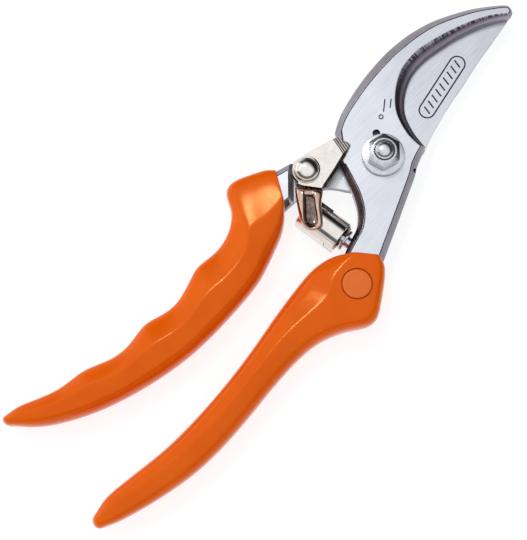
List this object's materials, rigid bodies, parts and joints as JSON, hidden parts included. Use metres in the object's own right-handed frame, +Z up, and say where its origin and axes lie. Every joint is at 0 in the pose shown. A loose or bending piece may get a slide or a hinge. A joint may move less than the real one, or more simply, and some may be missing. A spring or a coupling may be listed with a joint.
{
  "type": "pruning shears",
  "caption": "Bypass pruning shears with forged steel halves, contoured dipped grips, a thumb catch and a sleeved coil spring, shown closed and locked.",
  "frame": {"origin": "middle of the shears' bounding box, on the surface that they lie flat on", "axes": "+X along the shears to the tip, +Y to the side of the blade half's grip, +Z up to the pivot nut"},
  "size_m": [0.2182, 0.0658, 0.0202],
  "materials": {
    "forged_steel": "satin ground and stamped faces",
    "zinc_plated_steel": "bright zinc plate",
    "polished_nickel": "polished nickel plate",
    "spring_steel": "oiled spring wire",
    "bronze": "plain sintered bronze",
    "orange_grip": "glossy soft vinyl",
    "pale_orange_plug": "satin vinyl"
  },
  "bodies": {
    "hook_side": {"hook_half": "forged_steel", "hook_grip": "orange_grip", "grip_plug": "pale_orange_plug", "pivot_bolt": "zinc_plated_steel", "pivot_nut": "zinc_plated_steel", "pivot_washer": "zinc_plated_steel", "pivot_back_washer": "zinc_plated_steel", "pivot_bush": "bronze", "spring_seat": "spring_steel"},
    "blade_side": {"blade_half": "forged_steel", "blade_grip": "orange_grip", "catch_rivet": "polished_nickel", "catch_spacer": "polished_nickel", "catch_wave_washer": "polished_nickel", "rivet_back_washer": "polished_nickel", "spring_bracket": "polished_nickel", "spring_sleeve": "polished_nickel", "spring_guide": "spring_steel", "coil_spring": "spring_steel"},
    "catch": {"lock_catch": "polished_nickel"}
  },
  "joints": [
    {"name": "handle_pivot", "type": "hinge", "parent": "hook_side", "child": "blade_side", "pos_m": [0.04138, 0.00362, 0.0074], "axis": [0, 0, -1], "range_deg": [0, 25], "deforming": ["coil_spring"]},
    {"name": "catch_pivot", "type": "hinge", "parent": "blade_side", "child": "catch", "pos_m": [0.01978, 0.01752, 0.0132], "axis": [0, 0, 1], "range_deg": [0, 50]}
  ],
  "couplings": [
    {"joint": "catch_pivot", "follows": "handle_pivot", "ratio": 2}
  ]
}
